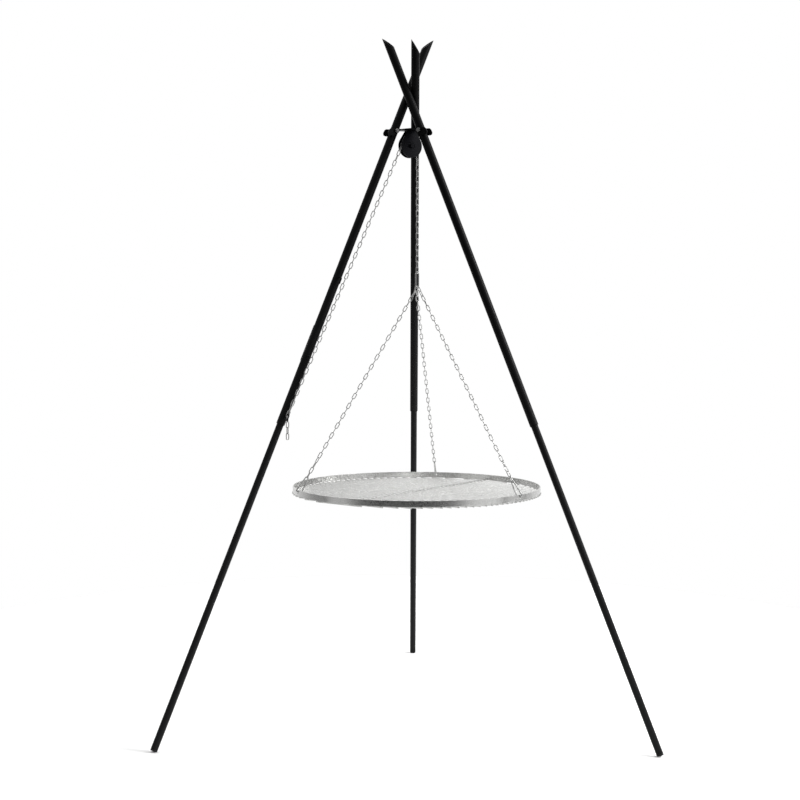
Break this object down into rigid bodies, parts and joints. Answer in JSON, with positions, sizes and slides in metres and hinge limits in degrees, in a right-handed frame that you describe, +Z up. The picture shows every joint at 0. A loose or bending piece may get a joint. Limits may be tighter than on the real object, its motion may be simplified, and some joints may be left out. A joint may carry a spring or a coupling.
{
  "type": "tripod swing grill",
  "caption": "Sectional steel tripod with a round grill grate hung on chains from a pulley; the free end of the lifting chain hooks onto one leg to set the grate's height",
  "frame": {"origin": "on the ground, at the centre of the bounding box that the feet span", "axes": "+Z up; the rear leg runs towards +Y, the leg with the chain hooks towards -X and -Y, and the picture was taken from -Y"},
  "size_m": [1.2598, 1.1046, 1.805],
  "materials": {
    "black_paint": "satin powder coat",
    "black_plastic": "matt",
    "zinc": "zinc plated",
    "chain_zinc": "zinc plated, bright",
    "stainless": "stainless, drawn and rolled",
    "wheel_black": "black, smooth"
  },
  "bodies": {
    "hub": {"hub_plate": "black_paint", "leg_bolt_left": "zinc", "leg_bolt_right": "zinc", "leg_bolt_rear": "zinc", "leg_nut_left": "zinc", "leg_nut_right": "zinc", "leg_nut_rear": "zinc", "hanger_bolt": "black_paint", "hanger_nut": "zinc", "pulley_frame": "black_paint", "pulley_axle": "zinc", "pulley_axle_nut": "zinc", "wheel_chain": "chain_zinc"},
    "wheel": {"pulley_wheel": "wheel_black"},
    "upper_left": {"upper_leg_left": "black_paint", "chain_hook_low": "black_paint", "chain_hook_mid": "black_paint", "chain_hook_high": "black_paint", "leg_backing_strip": "black_paint"},
    "upper_right": {"upper_leg_right": "black_paint"},
    "upper_rear": {"upper_leg_rear": "black_paint"},
    "lower_left": {"lower_leg_left": "black_paint", "foot_plug_left": "black_plastic"},
    "lower_right": {"lower_leg_right": "black_paint", "foot_plug_right": "black_plastic"},
    "lower_rear": {"lower_leg_rear": "black_paint", "foot_plug_rear": "black_plastic"},
    "haul": {"haul_chain": "chain_zinc"},
    "tail": {"chain_tail": "chain_zinc"},
    "swing": {"swing_link": "chain_zinc"},
    "lift": {"lift_chain": "chain_zinc"},
    "lift_end": {"lift_end_link": "chain_zinc"},
    "grate": {"gather_link": "chain_zinc", "sling_chain_front": "chain_zinc", "sling_chain_rear": "chain_zinc", "sling_chain_left": "chain_zinc", "rim_link_front": "chain_zinc", "rim_link_rear": "chain_zinc", "rim_link_left": "chain_zinc", "grate_rim": "stainless", "grate_grid": "stainless"}
  },
  "joints": [
    {"name": "leg_fold_left", "type": "hinge", "parent": "hub", "child": "upper_left", "pos_m": [-0.03594, -0.18268, 1.558], "axis": [-0.5, 0.866, 0], "range_deg": [-2, 0]},
    {"name": "leg_fold_right", "type": "hinge", "parent": "hub", "child": "upper_right", "pos_m": [0.03594, -0.2055, 1.558], "axis": [-0.5, -0.866, 0], "range_deg": [-2.01, 0.01]},
    {"name": "leg_fold_rear", "type": "hinge", "parent": "hub", "child": "upper_rear", "pos_m": [0.01976, -0.13184, 1.558], "axis": [1, 0, 0], "range_deg": [-2.01, 0.01]},
    {"name": "leg_draw_left", "type": "slide", "parent": "upper_left", "child": "lower_left", "axis": [-0.3453, -0.1994, -0.917], "range_m": [0, 0.08]},
    {"name": "leg_draw_right", "type": "slide", "parent": "upper_right", "child": "lower_right", "axis": [0.3453, -0.1994, -0.917], "range_m": [0, 0.08]},
    {"name": "leg_draw_rear", "type": "slide", "parent": "upper_rear", "child": "lower_rear", "axis": [0, 0.3988, -0.917], "range_m": [0, 0.08]},
    {"name": "haul_swing", "type": "hinge", "parent": "hub", "child": "haul", "pos_m": [-0.01504, -0.1859, 1.52094], "axis": [-0.5, 0.866, 0], "range_deg": [-2.08, 0.01]},
    {"name": "tail_swing", "type": "hinge", "parent": "haul", "child": "tail", "pos_m": [-0.30458, -0.35803, 0.81698], "axis": [-0.5, 0.866, 0], "range_deg": [-12, 3]},
    {"name": "wheel_spin", "type": "hinge", "parent": "hub", "child": "wheel", "pos_m": [0.00659, -0.17334, 1.5206], "axis": [-0.5, 0.866, 0], "range_deg": [-51, 884]},
    {"name": "swing_side", "type": "hinge", "parent": "hub", "child": "swing", "pos_m": [0.02625, -0.16199, 1.48669], "axis": [-0.866, -0.5, 0], "range_deg": [-2, 2]},
    {"name": "swing_fore", "type": "hinge", "parent": "swing", "child": "lift", "pos_m": [0.02625, -0.16199, 1.47219], "axis": [-0.5, 0.866, 0], "range_deg": [-2, 2]},
    {"name": "grate_hoist", "type": "slide", "parent": "lift", "child": "lift_end", "axis": [0, 0, 1], "range_m": [-0.35, 0.02], "deforming": ["lift_chain"]},
    {"name": "grate_turn", "type": "hinge", "parent": "lift_end", "child": "grate", "pos_m": [0.02625, -0.16199, 1.19069], "axis": [0, 0, 1], "range_deg": [-10, 10]}
  ],
  "couplings": [
    {"joint": "leg_fold_right", "follows": "leg_fold_left", "ratio": 1},
    {"joint": "leg_fold_rear", "follows": "leg_fold_left", "ratio": 1},
    {"joint": "haul_swing", "follows": "leg_fold_left", "ratio": 1.034},
    {"joint": "wheel_spin", "follows": "grate_hoist", "rad_per_m": -44.053}
  ]
}
